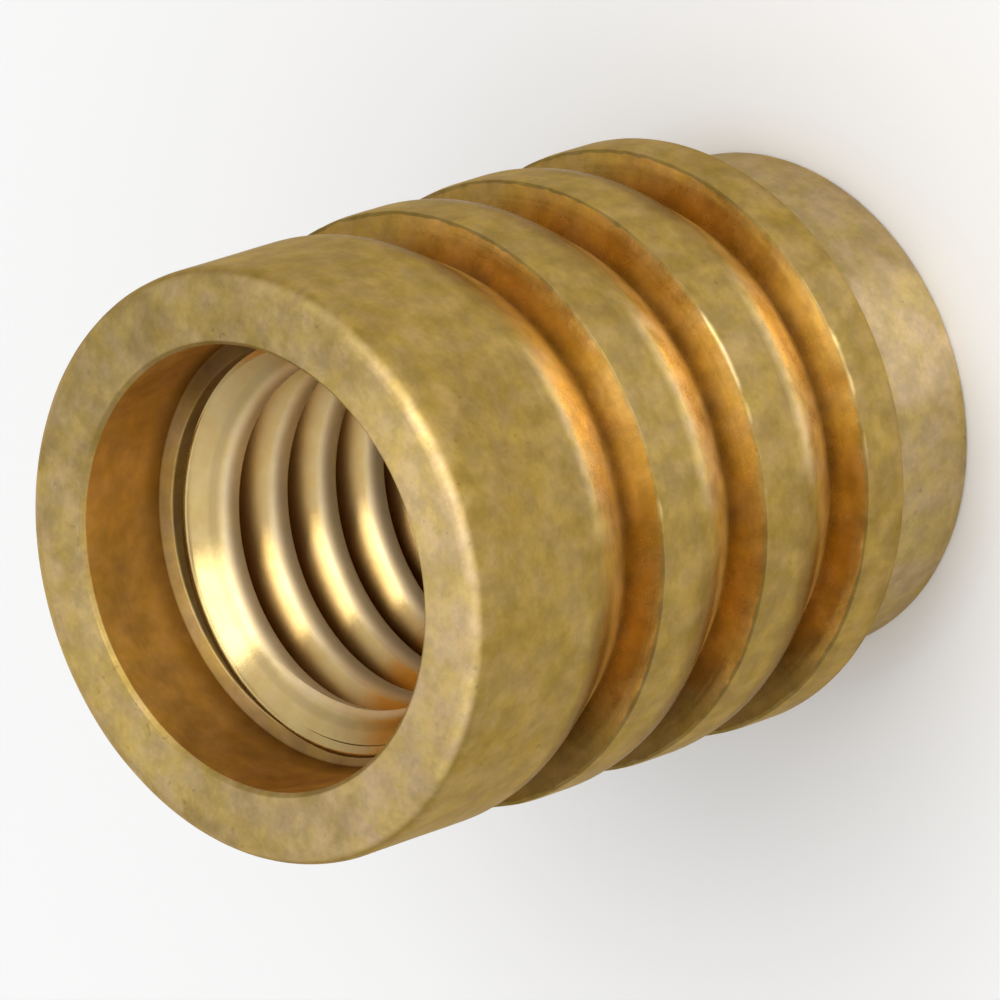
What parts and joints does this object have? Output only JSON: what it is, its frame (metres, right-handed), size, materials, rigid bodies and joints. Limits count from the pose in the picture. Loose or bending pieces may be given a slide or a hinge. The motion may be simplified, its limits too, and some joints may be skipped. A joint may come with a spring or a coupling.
{
  "type": "threaded insert",
  "caption": "Headless brass press-in threaded insert: plain collar with counterbored mouth, saw-tooth barbs, plain pilot nose, right-hand internal thread right through.",
  "frame": {"origin": "centre of the nose end face, on the axis; the insert stands on its nose", "axes": "+Z along the axis from the nose to the mouth"},
  "size_m": [0.0085, 0.0084, 0.011],
  "materials": {
    "turned_brass": "satin turned brass, lightly tarnished, brighter on worn edges and thread crests"
  },
  "bodies": {
    "root": {"insert_body": "turned_brass"}
  },
  "joints": []
}
